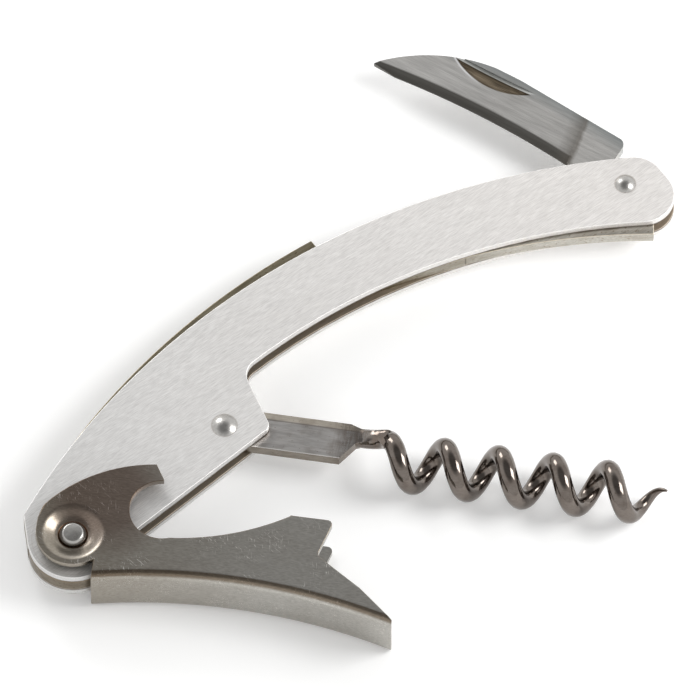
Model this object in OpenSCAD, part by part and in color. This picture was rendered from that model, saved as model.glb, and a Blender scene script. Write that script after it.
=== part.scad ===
// Lever corkscrew (waiter's friend): two steel side plates with one centre spring between
// them, and a foil knife, a worm and a folded sheet lever that turn on three rivets.
// Drawn flat on the table: X runs from the lever rivet to the knife rivet, Y towards the
// handle's arched back and Z up through the thickness. Half-open, as it lies when in use.

/* [Handle] */
// Distance from the lever rivet to the knife rivet
handle_span = 105.4; // [95:0.2:130]
// Width of the handle's curved arm
arm_w = 11.0; // [10:0.5:14]
// Radius of the arched back
back_r = 118; // [105:1:140]
// Height of the arched back above the line through the end rivets
back_rise = 20.0; // [18:0.5:24]
// Radius of the plates' round end at the lever
lever_end_r = 6.9; // [6:0.1:7.2]
// Radius of the plates' two round corners at the knife
knife_end_r = 4.8; // [4:0.1:5.2]
// How far the plates reach past the knife's rivet
knife_end_reach = 5.9; // [5.2:0.1:8]
// Thickness of each side plate
plate_t = 1.4; // [1:0.1:1.8]

/* [Heel] */
// Where the worm's rivet sits along the handle
worm_x = 30.3; // [27:0.1:33]
// How far the worm's rivet sits towards the back
worm_y = 2.25; // [1.5:0.05:3]
// Distance from the worm's rivet to the heel's front edge
heel_front = 6.6; // [6:0.1:8]
// Depth of the heel below the worm's rivet
heel_depth = 4.4; // [3.8:0.1:5]
// Radius inside the corner between the heel and the arm
heel_fillet_r = 3.0; // [1:0.1:4]

/* [Centre spring] */
// Thickness of the spring, which is also the gap between the plates
spring_t = 2.2; // [1.8:0.1:3]
// Where the spring's back arm ends in its square shoulder
shoulder_x = 60.6; // [56:0.2:64]
// How far the worm's heel has lifted the back arm, in degrees
back_lift = 1.9; // [0:0.1:2.5]
// How far the knife's heel has lifted the belly leaf, in degrees
leaf_lift = 3.0; // [0:0.1:4]
// Width of the belly leaf
leaf_w = 2.6; // [2:0.1:3]
// Where the belly leaf leaves the belly edge
leaf_root_x = 79; // [76:0.5:84]

/* [Knife] */
// Length of the blade from its rivet to its tip
blade_l = 45; // [40:0.2:46]
// Height of the blade
blade_h = 8.6; // [7:0.1:9]
// Angle of the half-open blade from the handle's line
knife_angle = 113.4; // [60:0.2:150]

/* [Worm] */
// Length of the worm from its rivet to its point
worm_l = 68.5; // [60:0.5:72]
// Outside diameter of the worm's coil
worm_d = 9.5; // [8:0.1:9.5]
// Diameter of the worm's wire
wire_d = 3.0; // [2.4:0.1:3.4]
// Advance of the coil for each turn
worm_pitch = 8.43; // [7:0.05:9.5]
// Width of the flat shank
shank_w = 6.2; // [5:0.1:6.6]
// Angle of the half-open worm from the handle's line
worm_angle = -45.2; // [-60:0.2:-30]

/* [Lever] */
// Length of the lever from its rivet to its foot
lever_l = 50.4; // [44:0.2:56]
// Width across the lever's two cheeks
lever_w = 9.5; // [8.8:0.1:11]
// Thickness of the lever's sheet
sheet_t = 1.0; // [0.8:0.1:1.2]
// Radius of the lever's curved web
web_r = 95; // [80:1:120]
// Outside radius of the folds between web and cheeks
fold_r = 1.4; // [1.2:0.1:2]
// Radius of the cap lifter's opening
cap_r = 5.0; // [4.4:0.1:5.2]
// Angle of the half-open lever from its closed place
lever_angle = -45; // [-60:1:-45]

/* [Rivets and fits] */
// Diameter of the lever's rivet
lever_rivet_d = 3.2; // [2.6:0.1:3.6]
// Diameter of the worm's rivet
worm_rivet_d = 2.6; // [2:0.1:3]
// Diameter of the knife's rivet
knife_rivet_d = 2.2; // [1.8:0.1:2.6]
// Diameter of the worm rivet's domed heads
worm_head_d = 3.8; // [3.2:0.1:4.4]
// Diameter of the knife rivet's domed heads
knife_head_d = 3.1; // [2.8:0.1:3.6]
// Height of the domed heads
head_h = 0.7; // [0.5:0.05:0.9]
// Radial clearance of a rivet in the plates and the spring
rivet_gap = 0.02; // [0.01:0.01:0.05]
// Radial clearance of a moving piece on its rivet
turn_gap = 0.05; // [0.02:0.01:0.1]
// Clearance between a moving piece and what it slides past
slide_gap = 0.08; // [0.05:0.01:0.12]
// Clearance between each plate and the knife's and the worm's flat tangs
tang_gap = 0.1; // [0.05:0.01:0.2]

/* [Hidden] */

$fn = 72;
arc_fn = 240;         // long shallow arcs
far = 60;             // longer than any piece is wide
seam = 0.002;         // how far an arc runs past the edges that it meets, so that they cross

// Stack through the thickness
mid_z = max(lever_w, worm_d) / 2;
plate_out = spring_t / 2 + plate_t;       // from the middle to a plate's outer face

// Handle outline
lever_pivot = [0, 0];
knife_pivot = [handle_span, 0];
worm_pivot = [worm_x, worm_y];
back_c = [0.46 * handle_span, back_rise - back_r];
belly_r = back_r - arm_w - 6;
belly_c = [back_c[0] + 0.5, back_c[1] + back_r - arm_w - belly_r];
end_top_c = corner_disc_c(back_c, back_r - knife_end_r);
end_low_c = corner_disc_c(belly_c, belly_r + knife_end_r);
stop_x = -3.6;                            // corner that stops the open lever
stop_corner = [stop_x, on_arc_y(back_c, back_r, stop_x)];
stop_low = [-0.9, 0.46] * lever_end_r;    // where its edge leaves the round end
stop_high = stop_corner + unit(stop_corner - stop_low);
heel_bottom_y = worm_y - heel_depth;
heel_front_x = worm_x + heel_front;
heel_rake = 0.23;                         // slope of the heel's front edge
heel_corner_r = 1.3;
sole = [6, -4.7];                         // a point of the sole near the lever's rivet

// Centre spring
lifted_back_c = turned(back_c, back_lift);
leaf_root = [leaf_root_x, on_arc_y(belly_c, belly_r, leaf_root_x)];
lifted_belly_c = leaf_root + turned(belly_c - leaf_root, -leaf_lift);
leaf_end_x = knife_pivot[0] - 1.3;

// Knife, in its own frame: X from rivet to tip, the spine towards -Y
blade_t = spring_t - 2 * tang_gap;
tang_r = norm(knife_pivot - lifted_belly_c) - belly_r - leaf_w - slide_gap;
tang_flat = 0.81 * tang_r;
tang_turn = -12;
back_edge_x = 4.0;                        // the blade's rear edge, which meets the leaf's end
edge_y = -0.5;                            // the deepest place of the hollow cutting edge
edge_arc_r = 150;
edge_arc_c = [0.6 * blade_l, edge_y + edge_arc_r];
tip_y = -0.2;                             // the edge turns back towards the spine at its tip
tip_slope = 0.093;
tip_arc_r = 26.3;                         // the spine's drop to the tip
tip_arc_y = tip_arc_r - blade_h - 0.2;
tip_arc_c = [blade_l - sqrt(pow(tip_arc_r, 2) - pow(tip_arc_y - tip_y, 2)), tip_arc_y];
plunge_x = 10.2;                          // where the grinding starts, at the edge
plunge_lean = 1.5;                        // and how much later it starts at the spine
edge_t = 1.4;                             // thickness where the grinding meets the bevel
keen_t = 0.2;                             // thickness that is left at the cutting edge
bevel_w = 1.35;
nick_r = 12.2;
nick_depth = 0.5;
nick_c = [0.616 * blade_l, -blade_h - 8.7];

// Worm, in its own frame: X along the shank, the spring's side towards +Y
shank_t = spring_t - 2 * tang_gap;
coil_r = (worm_d - wire_d) / 2;
coil_y = -0.95;
shank_top = 4.0;
shank_l = 18.1;
coil_x = 24.8;                            // where the first turn starts at its top
lead_x = 17.5;                            // where the wire starts inside the shank
onset = 0.9;                              // how softly the straight wire turns into the coil
flat_l = 4.5;                             // over what length the wire rises out of the shank
sunk_share = 0.95;                        // the wire's thickness where it starts in the shank
point_l = 5.5;                            // how much of the worm's length runs out to the point
point_pull = 0.65;                        // how much of its turning the wire loses there
point_scale = 0.12;                       // the point's share of the wire's diameter
point_r = 1.5;                            // how far the point stays from the coil's axis
ring_sides = 14;
rings_per_turn = 26;
cam_r = 5.3;
cam_flat = 4.3;
cam_turn = 6;

// Lever, in its own frame: as it lies closed along the handle
web_c = [25, -5.15 - web_r];
eye_r = 5.7;
web_start_x = 3.9;
head_arc_c = [14, -10];
head_arc_r = 23.7;
hook_tip = [12.4, 11.0];
cap_c = [12.9, 5.8];
rim_c = [10.5, 40];
rim_r = 39.1;
notch = [37.5, 1.5];
hump_top = 7.6;
hump_x = rim_c[0] + sqrt(rim_r * rim_r - (rim_c[1] - hump_top) * (rim_c[1] - hump_top));
foot = [lever_l, -7.9];
dish_r = 5.2;
dish_floor_r = 2.7;
dish_depth = lever_w / 2 - plate_out - sheet_t - slide_gap;

// The frame's origin: middle of the whole half-open tool, on the table
knife_tip = knife_pivot + turned([blade_l, tip_y], knife_angle);
worm_low = min([for (p = worm_path()) worm_pivot[1] + turned([p[0], p[1]], worm_angle)[1]
    - wire_d / 2 * wire_scale(p[0])]);
origin_xy = [
    (handle_span + knife_end_reach - lever_end_r) / 2,
    (knife_tip[1] + worm_low) / 2
];

function turned(p, a) = [p[0] * cos(a) - p[1] * sin(a), p[0] * sin(a) + p[1] * cos(a)];
function on_arc_y(c, r, x) = c[1] + sqrt(r * r - (x - c[0]) * (x - c[0]));
function corner_disc_c(c, reach) = let (x = handle_span + knife_end_reach - knife_end_r)
    [x, on_arc_y(c, reach, x)];
function unit(v) = v / norm(v);
function across(a, b) = a[0] * b[1] - a[1] * b[0];

// Corner rounding: the two tangent points and the centre of a corner's arc
function corner_run(a, b, c, r) = let (half = angle_between(a - b, c - b) / 2) r / tan(half);
function angle_between(u, v) = acos(u * v / (norm(u) * norm(v)));
function flat2(p) = [p[0], p[1]];
function corner_pair(a, b, c, r) = let (run = corner_run(a, b, c, r))
    [b + unit(a - b) * run, b + unit(c - b) * run];
function corner_centre(a, b, c, r) = let (half = angle_between(a - b, c - b) / 2)
    b + unit(unit(a - b) + unit(c - b)) * r / sin(half);

// Polygon whose points are [x, y, corner radius], counter-clockwise, with true arcs
module rounded(pts) {
    n = len(pts);
    difference() {
        union() {
            polygon([for (i = [0:n - 1]) let (
                a = flat2(pts[(i + n - 1) % n]), b = flat2(pts[i]),
                c = flat2(pts[(i + 1) % n]), r = pts[i][2])
                each r > 0 ? corner_pair(a, b, c, r) : [b]]);
            corner_discs(pts, 1);
        }
        corner_discs(pts, -1);
    }
}

// The arcs of a rounded polygon's outer corners (side 1) or inner corners (side -1)
module corner_discs(pts, side) {
    n = len(pts);
    for (i = [0:n - 1]) {
        a = flat2(pts[(i + n - 1) % n]);
        b = flat2(pts[i]);
        c = flat2(pts[(i + 1) % n]);
        r = pts[i][2];
        if (r > 0 && across(b - a, c - b) * side > 0)
            translate(corner_centre(a, b, c, r)) circle(r + seam);
    }
}

module disc(c, r) {
    translate(c) circle(r, $fn = arc_fn);
}

// Everything right of x0 and left of x1
module strip(x0, x1) {
    translate([x0, -2 * far]) square([x1 - x0, 4 * far]);
}

// ---- handle ----

// The curved arm between the arched back and the belly, with its two round corners
module arm_outline() {
    top_touch = end_top_c + unit(end_top_c - back_c) * knife_end_r;
    low_touch = end_low_c - unit(end_low_c - belly_c) * knife_end_r;
    intersection() {
        difference() {
            disc(back_c, back_r);
            disc(belly_c, belly_r);
        }
        polygon([[worm_x, -far], [low_touch[0], -far], low_touch, end_low_c, end_top_c,
            top_touch, [top_touch[0], far], [worm_x, far]]);
    }
    disc(end_top_c, knife_end_r + seam);
    disc(end_low_c, knife_end_r + seam);
    polygon([end_low_c, end_low_c + [knife_end_r, 0], end_top_c + [knife_end_r, 0], end_top_c]);
}

// The deep part that holds the lever's and the worm's rivets
module heel_outline() {
    intersection() {
        disc(back_c, back_r);
        rounded([
            [stop_high[0], stop_high[1], 0],
            [stop_low[0], stop_low[1], 0],
            [0, -0.5 * lever_end_r, 0],
            [sole[0], sole[1], 0],
            [heel_front_x - heel_rake * heel_depth, heel_bottom_y, heel_corner_r],
            [heel_front_x + heel_rake * (far - worm_y), far, 0],
            [stop_x + 3, far, 0]
        ]);
    }
    heel_fillet();
}

// Centre of the round corner between the heel's front edge and the belly
function fillet_centre(y) = [heel_front_x + heel_rake * (y - worm_y)
    + heel_fillet_r * sqrt(1 + heel_rake * heel_rake), y];
function fillet_y() = let (reach = belly_r - heel_fillet_r)
    [for (y = on_arc_y(belly_c, reach, fillet_centre(worm_y + 4)[0]))
        on_arc_y(belly_c, reach, fillet_centre(y)[0])][0];

module heel_fillet() {
    c = fillet_centre(fillet_y());
    top = c + unit(c - belly_c) * heel_fillet_r;
    side = c - heel_fillet_r * unit([1, -heel_rake]);
    difference() {
        polygon([side, top, top + [0, heel_fillet_r], side + [-1, heel_fillet_r], side + [-1, 0]]);
        translate(c) circle(heel_fillet_r + seam);
    }
}

module plate_outline() {
    arm_outline();
    heel_outline();
    translate(lever_pivot) circle(lever_end_r, $fn = arc_fn);
}

module rivet_holes(gap) {
    translate(lever_pivot) circle(lever_rivet_d / 2 + gap);
    translate(worm_pivot) circle(worm_rivet_d / 2 + gap);
    translate(knife_pivot) circle(knife_rivet_d / 2 + gap);
}

module side_plate(z) {
    translate([0, 0, z]) linear_extrude(plate_t) difference() {
        plate_outline();
        rivet_holes(rivet_gap);
    }
}

// One stamped spring: an eye on the lever's rivet, a back arm that the worm's heel lifts,
// and a belly leaf that the knife's heel lifts
module spring_outline() {
    rub_y = worm_y + cam_r + slide_gap;       // height of the edge that the worm's heel rubs on
    rub_rise = tan(back_lift);
    root = leaf_root;
    difference() {
        intersection() {
            disc(lifted_back_c, back_r);
            rounded([
                [stop_high[0], stop_high[1], 0],
                [stop_low[0], stop_low[1], 0],
                [5, rub_y - (worm_x - 5) * rub_rise, 0],
                [worm_x + 6, rub_y + 6 * rub_rise, 1],
                [worm_x + 10, rub_y + 6, 2.5],
                [shoulder_x - 8, rub_y + 7.2, 4],
                [root[0] - 7, root[1] + 1, 0],
                [root[0] - 2, root[1] - 1, 0],
                [root[0] + 1, root[1] + 2, 0],
                [root[0] - 9, root[1] + 5.8, 4],
                [shoulder_x + 0.2, rub_y + 5.8, 1],
                [shoulder_x + 0.4, far, 0],
                [stop_x + 3, far, 0]
            ]);
        }
        intersection() {
            disc(belly_c, belly_r);
            strip(shoulder_x - 8, root[0]);
        }
    }
    translate(lever_pivot) circle(lever_end_r, $fn = arc_fn);
    leaf_outline();
}

// The belly leaf, flush at its root and lifted at its free end
module leaf_outline() {
    end = [leaf_end_x, on_arc_y(lifted_belly_c, belly_r, leaf_end_x)];
    out = unit(end - lifted_belly_c);
    intersection() {
        difference() {
            disc(lifted_belly_c, belly_r + leaf_w);
            disc(lifted_belly_c, belly_r);
        }
        polygon([[leaf_root_x - 3, 0], end - out, end + out * (leaf_w + 1),
            [leaf_root_x - 3, leaf_root[1] + far / 4]]);
    }
}

// ---- lever ----

// Section of the folded channel, out from the web's centre of curvature
module channel_section(depth) {
    difference() {
        rounded([
            [web_r, 0, fold_r], [web_r + depth, 0, 0],
            [web_r + depth, lever_w, 0], [web_r, lever_w, fold_r]
        ]);
        rounded([
            [web_r + sheet_t, sheet_t, fold_r - sheet_t], [web_r + depth + 1, sheet_t, 0],
            [web_r + depth + 1, lever_w - sheet_t, 0],
            [web_r + sheet_t, lever_w - sheet_t, fold_r - sheet_t]
        ]);
    }
}

// Side view of the lever: round eye, hooked cap lifter, humped notch and slanting foot
module lever_outline() {
    difference() {
        union() {
            circle(eye_r);
            intersection() {
                disc(head_arc_c, head_arc_r);
                polygon([
                    [-eye_r, 0], [-eye_r, 14], [10.6, 14], hook_tip + [-1.3, 2.1], hook_tip,
                    cap_c, [cap_c[0], -far], [web_start_x, -far], [web_start_x, -4], [0, 0]
                ]);
            }
            rounded([
                [cap_c[0] - 1, -far, 0], [foot[0] + 0.2, -far, 0], [foot[0], foot[1], 0],
                [notch[0] + 7.3, notch[1] - 4.7, 0], [notch[0] + 2.0, notch[1] - 1.3, 0],
                [notch[0], notch[1], 0.8], [notch[0] + 1.7, hump_top + 0.2, 0.8],
                [cap_c[0] - 1, hump_top, 0]
            ]);
        }
        translate(cap_c) circle(cap_r, $fn = arc_fn);
        intersection() {
            disc(rim_c, rim_r);
            translate([cap_c[0], -far]) square([hump_x - cap_c[0], 2 * far]);
        }
    }
}

// Dished seat pressed into a cheek round the rivet, for the cheek at the top
module dish_section(gap) {
    z = lever_w;
    floor_z = z - dish_depth;
    rounded([
        [dish_r, z, 0], [dish_r - 0.5, z, 0.8], [dish_floor_r, floor_z, 0.8],
        [lever_rivet_d / 2 + gap, floor_z, 0], [lever_rivet_d / 2 + gap, floor_z - sheet_t, 0],
        [dish_floor_r + 0.4, floor_z - sheet_t, 0.8], [dish_r - 0.1, z - sheet_t, 0],
        [dish_r, z - sheet_t, 0]
    ]);
}

module lever_body() {
    span = [for (x = [-eye_r - 2, lever_l + 2]) 90 - asin((x - web_c[0]) / web_r)];
    difference() {
        intersection() {
            translate([web_c[0], web_c[1], 0])
                rotate_extrude(angle = span[0] - span[1], start = span[1], $fn = arc_fn)
                    channel_section(far / 2);
            linear_extrude(lever_w) lever_outline();
        }
        translate([0, 0, -1]) cylinder(r = dish_r, h = lever_w + 2);
    }
    dish();
    translate([0, 0, lever_w]) mirror([0, 0, 1]) dish();
}

module dish() {
    rotate_extrude() dish_section(turn_gap);
}

// ---- knife ----

module blade_outline() {
    difference() {
        intersection() {
            rounded([
                [back_edge_x, -blade_h + 1.3, 1.2], [tip_arc_c[0] - 2, -blade_h - 0.1, 0],
                [blade_l + 1, -blade_h - 0.1, 0], [blade_l + 1, tip_y - tip_slope, 0],
                [blade_l - 6, tip_y + 6 * tip_slope, 0], [blade_l - 6, 2, 0],
                [0, 2, 0], [0, -2, 0], [back_edge_x, -2, 0]
            ]);
            union() {
                disc(tip_arc_c, tip_arc_r);
                strip(0, tip_arc_c[0]);
            }
        }
        disc(edge_arc_c, edge_arc_r);
    }
    polygon([[plunge_x, edge_y], [0, 0.75 * tang_flat], [0, -2], [plunge_x, -2]]);
    intersection() {
        circle(tang_r);
        rotate(tang_turn) square(2 * tang_flat, center = true);
    }
}

// What grinding takes off one face: a flat slope to the edge and a bevel along the edge
module grind() {
    slope = atan((blade_t - edge_t) / 2 / blade_h);
    translate([plunge_x, -blade_h, blade_t / 2]) rotate([-slope, 0, 0])
        linear_extrude(far) ground_side();
    intersection() {
        translate([edge_arc_c[0], edge_arc_c[1], keen_t / 2]) cylinder(
            r1 = edge_arc_r, r2 = edge_arc_r + blade_t * bevel_w / (edge_t - keen_t),
            h = blade_t / 2);
        translate([plunge_x, -blade_h, 0]) linear_extrude(blade_t) ground_side();
    }
}

// All that lies beyond the leaning line where the grinding starts
module ground_side() {
    polygon([[plunge_lean, 0], [far, 0], [far, 2 * blade_h], [-plunge_lean, 2 * blade_h]]);
}

// Crescent cut that a thumbnail catches in, its steep wall near the spine
module nail_nick() {
    wall_y = -blade_h + 0.9;
    reach = wall_y - nick_c[1];
    lift = (nick_r * nick_r - reach * reach) / (2 * nick_depth) - nick_depth / 2;
    intersection() {
        translate([nick_c[0], nick_c[1], blade_t / 2 + lift])
            sphere(norm([nick_r, lift]), $fn = arc_fn);
        translate([nick_c[0] - nick_r, wall_y, 0]) cube([2 * nick_r, nick_r, blade_t]);
    }
}

// ---- worm ----

// How far the wire has turned round the coil's axis at a distance along the worm
function coil_turn(x) = 360 / worm_pitch * (onset * ln(1 + exp((x - coil_x) / onset))
    - point_pull * pow(to_point(x), 2) * point_l / 2);
// How far into the point a place along the worm is, from 0 to 1
function to_point(x) = max(1 - (worm_l - x) / point_l, 0);
function worm_steps() = ceil(worm_l / worm_pitch * rings_per_turn);
function wire_scale(x) = 1 - (1 - point_scale) * to_point(x);
function coil_radius(x) = coil_r - (coil_r - point_r) * pow(to_point(x), 2);

// Points of the wire's centre line
function worm_path() = [for (i = [0:worm_steps()]) let (
    x = lead_x + (worm_l - lead_x) * i / worm_steps(), turn = coil_turn(x) - coil_turn(lead_x))
    [x, coil_y + coil_radius(x) * cos(turn), coil_radius(x) * sin(turn)]];

// One ring of the wire's surface round a point of its path
function wire_ring(path, i) = let (
    n = len(path) - 1, p = path[i], q = path[min(i + 1, n)], o = path[max(i - 1, 0)],
    ahead = unit([q[0] - o[0], q[1] - o[1], q[2] - o[2]]),
    out = unit([0, p[1] - coil_y, p[2]]), side = unit(cross(ahead, out)),
    up = cross(side, ahead), r = wire_d / 2 * wire_scale(p[0]),
    low = sunk_share * shank_t / wire_d,
    rise = min(low + (1 - low) * (p[0] - lead_x) / flat_l, 1))
    [for (k = [0:ring_sides - 1]) let (a = 360 * k / ring_sides,
        q = r * (cos(a) * up + sin(a) * side)) [p[0] + q[0], p[1] + q[1], p[2] + rise * q[2]]];

module worm_wire() {
    path = worm_path();
    n = len(path);
    points = [for (i = [0:n - 1]) each wire_ring(path, i)];
    sides = [for (i = [0:n - 2], k = [0:ring_sides - 1]) let (
        a = i * ring_sides + k, b = i * ring_sides + (k + 1) % ring_sides)
        each [[a, a + ring_sides, b], [b, a + ring_sides, b + ring_sides]]];
    start = [for (k = [0:ring_sides - 1]) k];
    end = [for (k = [0:ring_sides - 1]) n * ring_sides - 1 - k];
    polyhedron(points, concat(sides, [start, end]), convexity = 12);
}

module shank_outline() {
    wire_y = coil_y + coil_r;
    polygon([
        [0, shank_top - shank_w], [shank_l, shank_top - shank_w],
        [shank_l + 2.2, wire_y - wire_d / 2 + 0.1], [shank_l + 5, wire_y - 0.3],
        [shank_l + 5, wire_y + 0.3], [shank_l + 1, shank_top], [0, shank_top]
    ]);
    intersection() {
        circle(cam_r);
        rotate(cam_turn) square(2 * cam_flat, center = true);
        translate([-far, shank_top - shank_w]) square([2 * far, far]);
    }
}

// ---- rivets ----

// Half section of a dome that stands on a face at height z, outwards
module dome(d, z) {
    ball = (d * d / 4 + head_h * head_h) / (2 * head_h);
    translate([0, 0, z]) intersection() {
        translate([0, 0, head_h - ball]) sphere(ball, $fn = 96);
        cylinder(d = d + 1, h = head_h + 1);
    }
}

module domed_rivet(d, head_d) {
    translate([0, 0, -plate_out]) cylinder(d = d, h = 2 * plate_out);
    dome(head_d, plate_out);
    mirror([0, 0, 1]) dome(head_d, plate_out);
}

// Flat-topped head, turned over in the lever's dish
module flat_head() {
    floor_z = lever_w / 2 - dish_depth + turn_gap;
    head_r = dish_floor_r - 0.75;
    translate([0, 0, floor_z]) cylinder(r = head_r, h = 0.35);
    translate([0, 0, floor_z + 0.35])
        cylinder(r1 = head_r, r2 = lever_rivet_d / 2, h = dish_depth - 0.35 - 0.25);
}

// ---- pieces ----

module at_handle() {
    translate([-origin_xy[0], -origin_xy[1], mid_z]) children();
}

module front_plate() {
    color("gainsboro") at_handle() side_plate(spring_t / 2);
}

module back_plate() {
    color("gainsboro") at_handle() side_plate(-plate_out);
}

module centre_spring() {
    color("darkgray") at_handle() translate([0, 0, -spring_t / 2]) linear_extrude(spring_t)
        difference() {
            spring_outline();
            translate(lever_pivot) circle(lever_rivet_d / 2 + rivet_gap);
        }
}

module lever() {
    color("gray") at_handle() rotate(lever_angle) translate([0, 0, -lever_w / 2]) lever_body();
}

module lever_rivet() {
    color("silver") at_handle() {
        reach = lever_w / 2 - dish_depth + turn_gap;
        translate([0, 0, -reach]) cylinder(d = lever_rivet_d, h = 2 * reach);
        flat_head();
        mirror([0, 0, 1]) flat_head();
    }
}

module worm() {
    color("dimgray") at_handle() translate(worm_pivot) rotate(worm_angle) {
        translate([0, 0, -shank_t / 2]) linear_extrude(shank_t) difference() {
            shank_outline();
            circle(worm_rivet_d / 2 + turn_gap);
        }
        worm_wire();
    }
}

module worm_rivet() {
    color("silver") at_handle() translate(worm_pivot) domed_rivet(worm_rivet_d, worm_head_d);
}

module knife_blade() {
    color("slategray") at_handle() translate(knife_pivot) rotate(knife_angle) difference() {
        translate([0, 0, -blade_t / 2]) linear_extrude(blade_t) difference() {
            blade_outline();
            circle(knife_rivet_d / 2 + turn_gap);
        }
        grind();
        mirror([0, 0, 1]) grind();
        nail_nick();
    }
}

module knife_rivet() {
    color("silver") at_handle() translate(knife_pivot) domed_rivet(knife_rivet_d, knife_head_d);
}

front_plate();
back_plate();
centre_spring();
lever();
lever_rivet();
worm();
worm_rivet();
knife_blade();
knife_rivet();
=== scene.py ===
import math
import bpy
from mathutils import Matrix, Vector


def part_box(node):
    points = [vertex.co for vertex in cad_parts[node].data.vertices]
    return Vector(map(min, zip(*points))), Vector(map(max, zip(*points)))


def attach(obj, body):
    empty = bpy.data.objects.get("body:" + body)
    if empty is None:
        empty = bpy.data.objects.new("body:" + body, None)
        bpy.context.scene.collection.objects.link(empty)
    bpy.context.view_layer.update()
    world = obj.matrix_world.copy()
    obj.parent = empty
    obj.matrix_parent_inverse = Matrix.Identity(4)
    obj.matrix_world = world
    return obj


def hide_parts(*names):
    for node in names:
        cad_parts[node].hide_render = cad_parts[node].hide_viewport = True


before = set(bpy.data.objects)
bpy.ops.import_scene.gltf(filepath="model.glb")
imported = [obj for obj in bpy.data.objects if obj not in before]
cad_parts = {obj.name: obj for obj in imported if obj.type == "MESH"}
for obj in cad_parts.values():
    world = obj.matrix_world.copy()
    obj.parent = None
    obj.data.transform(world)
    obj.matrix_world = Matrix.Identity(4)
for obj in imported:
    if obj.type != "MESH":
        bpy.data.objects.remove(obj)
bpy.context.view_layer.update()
mm = 0.001
middleZ = (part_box("front_plate")[1].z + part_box("back_plate")[0].z) / 2


def pivotOf(nodeName):
    # Where a rivet stands, in mm
    low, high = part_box(nodeName)
    return (low.x + high.x) / 2 / mm, (low.y + high.y) / 2 / mm


def heightsOf(nodeName):
    # The lowest and highest face of a piece, in mm
    low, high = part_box(nodeName)
    return low.z / mm, high.z / mm


leverPivot, wormPivot, knifePivot = (pivotOf(name) for name in (
    "lever_rivet", "worm_rivet", "knife_rivet"))
rivetHoles = [(*leverPivot, 2.0), (*wormPivot, 1.6), (*knifePivot, 1.4)]  # x, y, reach in mm


def deselectAll():
    bpy.ops.object.select_all(action="DESELECT")


def makeActive(piece):
    deselectAll()
    piece.select_set(True)
    bpy.context.view_layer.objects.active = piece


def editAll(piece):
    makeActive(piece)
    bpy.ops.object.mode_set(mode="EDIT")
    bpy.ops.mesh.select_all(action="SELECT")


def backToObject():
    bpy.ops.object.mode_set(mode="OBJECT")


def applyModifier(piece, kind, **settings):
    makeActive(piece)
    modifier = piece.modifiers.new(kind.title(), kind)
    for key, value in settings.items():
        setattr(modifier, key, value)
    bpy.ops.object.modifier_apply(modifier=modifier.name)


def isNear(point, spots):
    # True inside any of the circles (x, y, radius)
    return any(math.hypot(point[0] - x, point[1] - y) < r for x, y, r in spots)


def pieceFromNode(nodeName, pieceName):
    # A new piece from a node's own surface, with its loose triangles welded and the node's
    # stored shading cleared
    weldReach = 0.004
    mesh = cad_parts[nodeName].data.copy()
    mesh.materials.clear()
    piece = bpy.data.objects.new(pieceName, mesh)
    bpy.context.scene.collection.objects.link(piece)
    makeActive(piece)
    bpy.ops.mesh.customdata_custom_splitnormals_clear()
    editAll(piece)
    bpy.ops.mesh.mark_sharp(clear=True)
    bpy.ops.mesh.remove_doubles(threshold=weldReach * mm)
    backToObject()
    return piece


def putInOrder(piece):
    # Lists a mesh's corners and faces by their place, so that each run joins them the same way
    decimals = 8
    mesh = piece.data
    spots = [tuple(round(c, decimals) for c in vertex.co) for vertex in mesh.vertices]
    order = sorted(range(len(spots)), key=lambda i: spots[i])
    rank = {old: new for new, old in enumerate(order)}
    faces = []
    for face in mesh.polygons:
        corners = [rank[i] for i in face.vertices]
        first = corners.index(min(corners))
        faces.append(corners[first:] + corners[:first])
    mesh.clear_geometry()
    mesh.from_pydata([spots[i] for i in order], [], sorted(faces))


def joinFlatFaces(piece):
    flatAngle = 0.05
    putInOrder(piece)
    editAll(piece)
    bpy.ops.mesh.dissolve_limited(angle_limit=math.radians(flatAngle))
    backToObject()


def selectMesh(piece, kind, chosen):
    # Opens a piece for editing with just its chosen corners, edges or faces picked; chosen is
    # given the places of their corners, in mm
    editAll(piece)
    bpy.ops.mesh.select_mode(type=kind)
    bpy.ops.mesh.select_all(action="DESELECT")
    backToObject()
    mesh = piece.data
    places = [tuple(c / mm for c in vertex.co) for vertex in mesh.vertices]
    for item in {"VERT": mesh.vertices, "EDGE": mesh.edges, "FACE": mesh.polygons}[kind]:
        corners = [item.index] if kind == "VERT" else item.vertices
        item.select = chosen([places[i] for i in corners])
    bpy.ops.object.mode_set(mode="EDIT")


def smoothPiece(piece, sharpest):
    # Smooths corners softer than sharpest degrees, and keeps wide flats even up to their edges
    makeActive(piece)
    bpy.ops.object.shade_smooth_by_angle(angle=math.radians(sharpest))
    applyModifier(piece, "WEIGHTED_NORMAL", mode="FACE_AREA", weight=100, keep_sharp=True)


def softenRims(piece, width, heights, spared):
    # Rounds the hard edges that lie at the given heights, outside the circles spared
    hardAngle, smoothAngle, levelWithin = 50, 40, 0.01
    joinFlatFaces(piece)
    editAll(piece)
    bpy.ops.mesh.select_mode(type="EDGE")
    bpy.ops.mesh.select_all(action="DESELECT")
    bpy.ops.mesh.edges_select_sharp(sharpness=math.radians(hardAngle))
    backToObject()
    mesh = piece.data
    for edge in mesh.edges:
        ends = [mesh.vertices[i].co / mm for i in edge.vertices]
        level = any(all(abs(end.z - height) < levelWithin for end in ends)
                    for height in heights)
        if not level or all(isNear(end, spared) for end in ends):
            edge.select = False
    bpy.ops.object.mode_set(mode="EDIT")
    bpy.ops.transform.edge_bevelweight(value=1)
    backToObject()
    applyModifier(piece, "BEVEL", width=width * mm, segments=3, limit_method="WEIGHT",
                  use_clamp_overlap=False)
    smoothPiece(piece, smoothAngle)


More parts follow.
